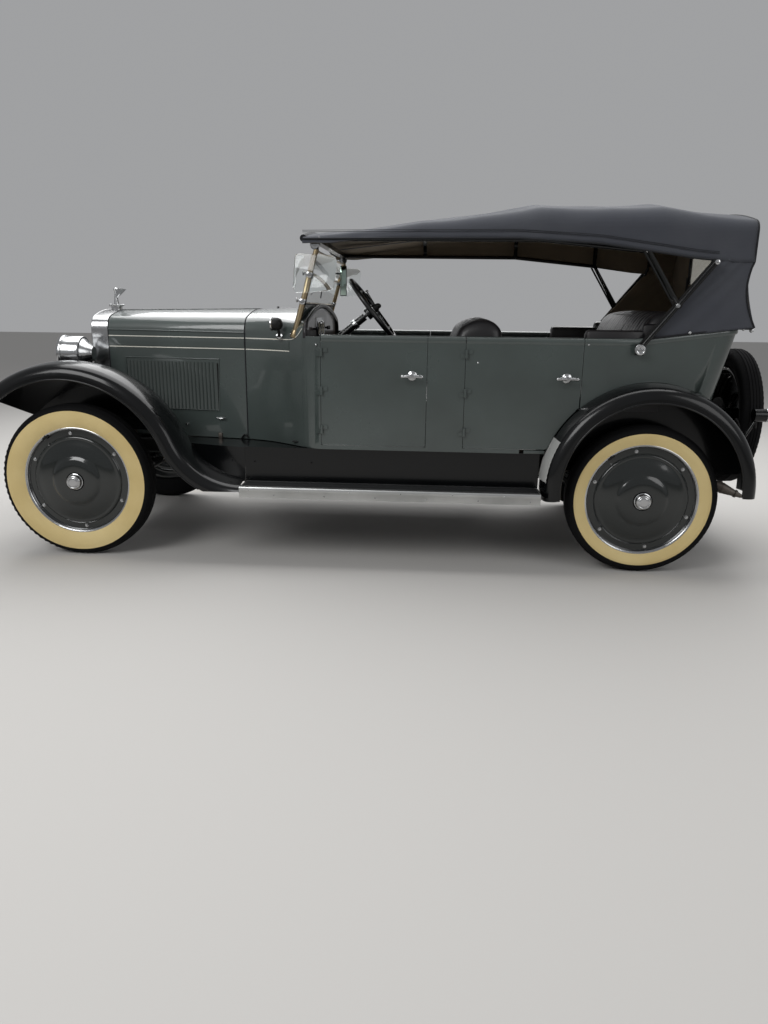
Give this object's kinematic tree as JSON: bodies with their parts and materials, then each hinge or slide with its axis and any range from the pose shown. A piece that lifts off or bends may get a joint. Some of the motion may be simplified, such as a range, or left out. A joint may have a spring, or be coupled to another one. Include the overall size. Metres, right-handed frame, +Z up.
{
  "type": "touring car",
  "caption": "Open touring car with a raised soft top, disc wheels, long hood, sweeping black fenders, running boards and a rear spare wheel.",
  "frame": {"origin": "on the floor under the middle of the car's overall length and width", "axes": "-X towards the front of the car, -Y towards the car's left side, +Z up"},
  "size_m": [4.392, 1.744, 1.9758],
  "materials": {
    "black_frame": "satin black chassis paint",
    "spring_steel": "satin black on leaf springs",
    "engine_grey": "painted cast iron",
    "pipe_steel": "dull exhaust steel",
    "tyre_rubber": "black tread with cream side walls",
    "wheel_paint": "gloss green-black disc",
    "nickel": "polished nickel",
    "core": "black-painted cellular core",
    "body_paint": "dark grey-green coach paint",
    "fender_paint": "gloss black enamel",
    "floor_wood": "boarded floor under dark mat",
    "panel_wood": "dark instrument board",
    "leather": "pleated dark leather",
    "column_black": "black moulded rim on steel",
    "clear_glass": "clear plate glass",
    "top_cloth": "dark slate rubberized top cloth",
    "bow_black": "black enamel irons",
    "board_mat": "ribbed mat on black board"
  },
  "bodies": {
    "car_body": {"frame_rails": "black_frame", "frame_members": "black_frame", "leaf_springs": "spring_steel", "front_axle": "black_frame", "rear_axle": "black_frame", "engine_block": "engine_grey", "exhaust": "pipe_steel", "fuel_tank": "black_frame", "spare_wheel": "wheel_paint", "spare_tyre": "tyre_rubber", "spare_carrier": "black_frame", "radiator_shell": "nickel", "radiator_core": "core", "radiator_cap": "nickel", "hood_top": "body_paint", "hood_sides": "body_paint", "cowl": "body_paint", "firewall": "panel_wood", "instrument_panel": "panel_wood", "floor_panel": "floor_wood", "body_side_left": "body_paint", "body_side_right": "body_paint", "body_rear": "body_paint", "front_seat": "leather", "rear_seat": "leather", "steering_column": "bow_black", "windshield_frame": "nickel", "windshield_glass": "clear_glass", "front_fenders": "fender_paint", "rear_fenders": "fender_paint", "running_boards": "board_mat", "headlamps": "nickel", "cowl_lamps": "nickel", "tail_lamp": "fender_paint", "canopy": "top_cloth", "top_bows": "bow_black"},
    "left_knuckle": {"knuckle_left": "black_frame"},
    "right_knuckle": {"knuckle_right": "black_frame"},
    "tie_rod_body": {"tie_rod": "black_frame"},
    "steering_wheel_body": {"steering_wheel": "column_black"},
    "front_left_wheel": {"wheel_front_left": "wheel_paint", "tyre_front_left": "tyre_rubber"},
    "front_left_door": {"door_front_left": "body_paint"},
    "front_right_wheel": {"wheel_front_right": "wheel_paint", "tyre_front_right": "tyre_rubber"},
    "front_right_door": {"door_front_right": "body_paint"},
    "rear_left_wheel": {"wheel_rear_left": "wheel_paint", "tyre_rear_left": "tyre_rubber"},
    "rear_left_door": {"door_rear_left": "body_paint"},
    "rear_right_wheel": {"wheel_rear_right": "wheel_paint", "tyre_rear_right": "tyre_rubber"},
    "rear_right_door": {"door_rear_right": "body_paint"}
  },
  "joints": [
    {"name": "left_kingpin", "type": "hinge", "parent": "car_body", "child": "left_knuckle", "pos_m": [-1.68502, -0.6, 0.432], "axis": [0, 0, 1], "range_deg": [-30, 30]},
    {"name": "right_kingpin", "type": "hinge", "parent": "car_body", "child": "right_knuckle", "pos_m": [-1.68502, 0.6, 0.432], "axis": [0, 0, 1], "range_deg": [-30, 30]},
    {"name": "tie_rod_pin", "type": "hinge", "parent": "left_knuckle", "child": "tie_rod_body", "pos_m": [-1.53502, -0.6, 0.365], "axis": [0, 0, 1], "range_deg": [-30, 30]},
    {"name": "steering_column_bearing", "type": "hinge", "parent": "car_body", "child": "steering_wheel_body", "pos_m": [-0.04502, -0.35, 1.387], "axis": [0.7815, 0, 0.6239], "range_deg": [-360, 360]},
    {"name": "front_left_hub", "type": "hinge", "parent": "left_knuckle", "child": "front_left_wheel", "pos_m": [-1.68502, -0.715, 0.432], "axis": [0, 1, 0], "continuous": true},
    {"name": "front_right_hub", "type": "hinge", "parent": "right_knuckle", "child": "front_right_wheel", "pos_m": [-1.68502, 0.715, 0.432], "axis": [0, 1, 0], "continuous": true},
    {"name": "rear_left_hub", "type": "hinge", "parent": "car_body", "child": "rear_left_wheel", "pos_m": [1.45098, -0.715, 0.406], "axis": [0, 1, 0], "continuous": true},
    {"name": "rear_right_hub", "type": "hinge", "parent": "car_body", "child": "rear_right_wheel", "pos_m": [1.45098, 0.715, 0.406], "axis": [0, 1, 0], "continuous": true},
    {"name": "front_left_hinge", "type": "hinge", "parent": "car_body", "child": "front_left_door", "pos_m": [-0.29102, -0.735, 0.955], "axis": [0, 0, -1], "range_deg": [0, 68]},
    {"name": "front_right_hinge", "type": "hinge", "parent": "car_body", "child": "front_right_door", "pos_m": [-0.29102, 0.735, 0.955], "axis": [0, 0, 1], "range_deg": [0, 68]},
    {"name": "rear_left_hinge", "type": "hinge", "parent": "car_body", "child": "rear_left_door", "pos_m": [0.48298, -0.735, 0.955], "axis": [0, 0, -1], "range_deg": [0, 68]},
    {"name": "rear_right_hinge", "type": "hinge", "parent": "car_body", "child": "rear_right_door", "pos_m": [0.48298, 0.735, 0.955], "axis": [0, 0, 1], "range_deg": [0, 68]}
  ],
  "couplings": [
    {"joint": "right_kingpin", "follows": "left_kingpin", "ratio": 1},
    {"joint": "tie_rod_pin", "follows": "left_kingpin", "ratio": -1},
    {"joint": "steering_column_bearing", "follows": "left_kingpin", "ratio": 12}
  ]
}
